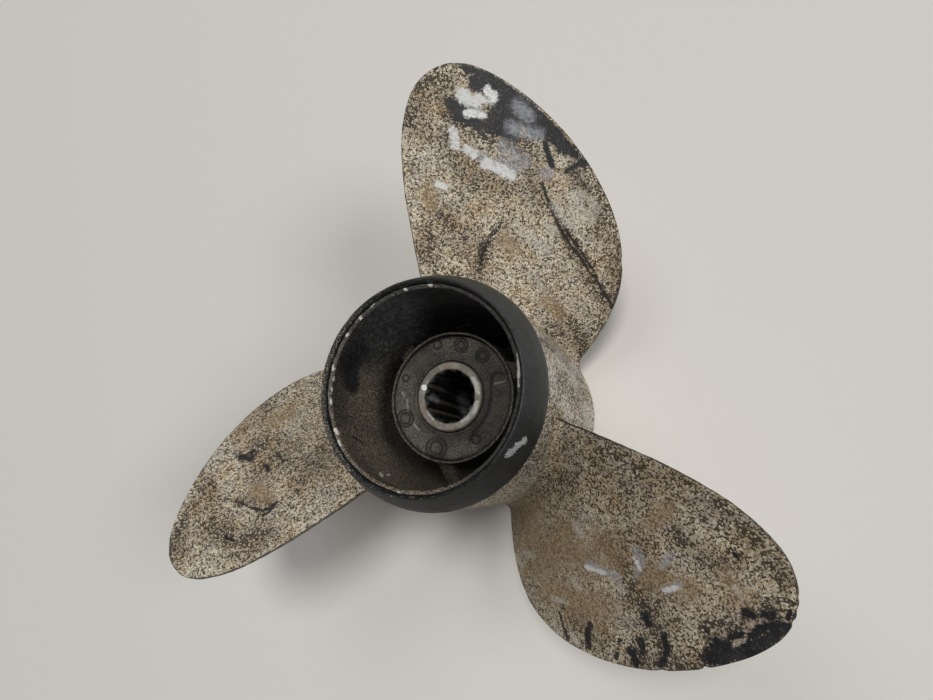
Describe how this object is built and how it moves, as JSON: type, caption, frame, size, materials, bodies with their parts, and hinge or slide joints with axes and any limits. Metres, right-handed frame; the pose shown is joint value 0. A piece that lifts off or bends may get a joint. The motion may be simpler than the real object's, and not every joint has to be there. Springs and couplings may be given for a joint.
{
  "type": "outboard motor propeller",
  "caption": "Worn cast aluminium boat propeller with raked blades, an exhaust barrel, a black tapering aft ring and a splined sleeve in a rubber bush.",
  "frame": {"origin": "on the shaft's axis at the propeller's balance point, 56 mm aft of the barrel's forward rim", "axes": "+Z along the shaft's axis, aft and up, away from the engine; +Y along the middle of blade_1; +X to its right, seen from aft"},
  "size_m": [0.2455, 0.2352, 0.117],
  "materials": {
    "casting": "worn, pitted casting with scraps of black paint",
    "ring": "scuffed black, half gloss",
    "bush": "aged, dusty rubber",
    "sleeve": "dull turned metal with rust marks"
  },
  "bodies": {
    "root": {"hub_barrel": "casting", "inner_tube": "casting", "web_1": "casting", "web_2": "casting", "web_3": "casting", "blade_1": "casting", "blade_2": "casting", "blade_3": "casting", "aft_ring": "ring", "rubber_bush": "bush", "splined_sleeve": "sleeve"}
  },
  "joints": []
}
